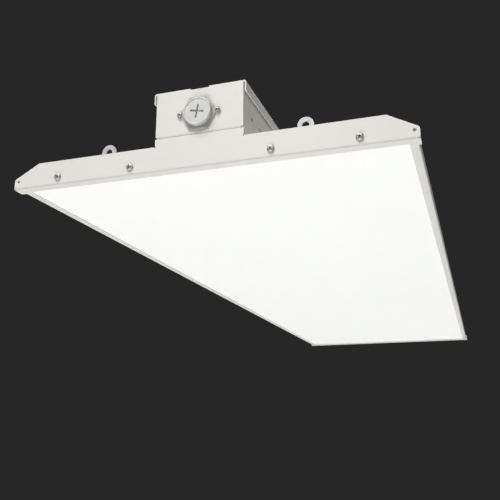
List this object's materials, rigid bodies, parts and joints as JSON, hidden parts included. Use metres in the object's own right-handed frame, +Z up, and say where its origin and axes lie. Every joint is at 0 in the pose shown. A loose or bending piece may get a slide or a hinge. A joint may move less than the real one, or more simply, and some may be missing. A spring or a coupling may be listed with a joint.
{
  "type": "high bay light",
  "caption": "Long, low high bay light: a folded white pan over an opal diffuser, closed by shaped end plates, with a driver box along its back, a capped sensor port and hanging eyes.",
  "frame": {"origin": "middle of the underside, on the plane of the end plates' lips", "axes": "+Z up, away from the diffuser; +Y along the light, away from the sensor port; +X across it, to the right seen from the port's end"},
  "size_m": [0.382, 1.2271, 0.0795],
  "materials": {
    "housing_paint": "satin white powder coat",
    "box_paint": "satin white powder coat",
    "opal_diffuser": "frosted opal",
    "zinc_screws": "bright zinc",
    "zinc_sheet": "bright zinc",
    "rivet_aluminium": "plain",
    "seal_rubber": "matt black",
    "port_grey": "matt grey",
    "cap_white": "matt off-white",
    "contact_brass": "plain",
    "ground_green": "green finish",
    "board_white": "white solder mask on aluminium",
    "led_yellow": "phosphor yellow",
    "connector_white": "white",
    "driver_case": "plain sheet",
    "terminal_orange": "orange",
    "lead_black": "black insulation",
    "lead_white": "white insulation",
    "lead_green": "green insulation",
    "lead_red": "red insulation",
    "lead_violet": "violet insulation"
  },
  "bodies": {
    "root": {"board_connectors": "connector_white", "board_screws": "zinc_screws", "diffuser_panel": "opal_diffuser", "dimming_link_lead": "lead_violet", "driver_lid": "box_paint", "driver_screws": "zinc_screws", "driver_tray": "box_paint", "end_plate_front": "housing_paint", "end_plate_rear": "housing_paint", "end_plate_screws": "zinc_screws", "eye_rivets": "rivet_aluminium", "grommet_front": "seal_rubber", "grommet_rear": "seal_rubber", "ground_leads": "lead_green", "ground_ring": "contact_brass", "ground_screw": "ground_green", "hang_eye_front_left": "zinc_sheet", "hang_eye_front_right": "zinc_sheet", "hang_eye_rear_left": "zinc_sheet", "hang_eye_rear_right": "zinc_sheet", "housing_pan": "housing_paint", "led_board_front_left": "board_white", "led_board_front_right": "board_white", "led_board_rear_left": "board_white", "led_board_rear_right": "board_white", "led_chips": "led_yellow", "led_driver_front": "driver_case", "led_driver_rear": "driver_case", "lid_screws": "zinc_screws", "line_leads": "lead_black", "neutral_leads": "lead_white", "output_leads": "lead_red", "port_cap": "cap_white", "port_contacts": "contact_brass", "port_housing": "port_grey", "port_lead": "lead_violet", "port_screws": "zinc_screws", "terminal_block": "terminal_orange", "tray_screws": "zinc_screws"}
  },
  "joints": []
}
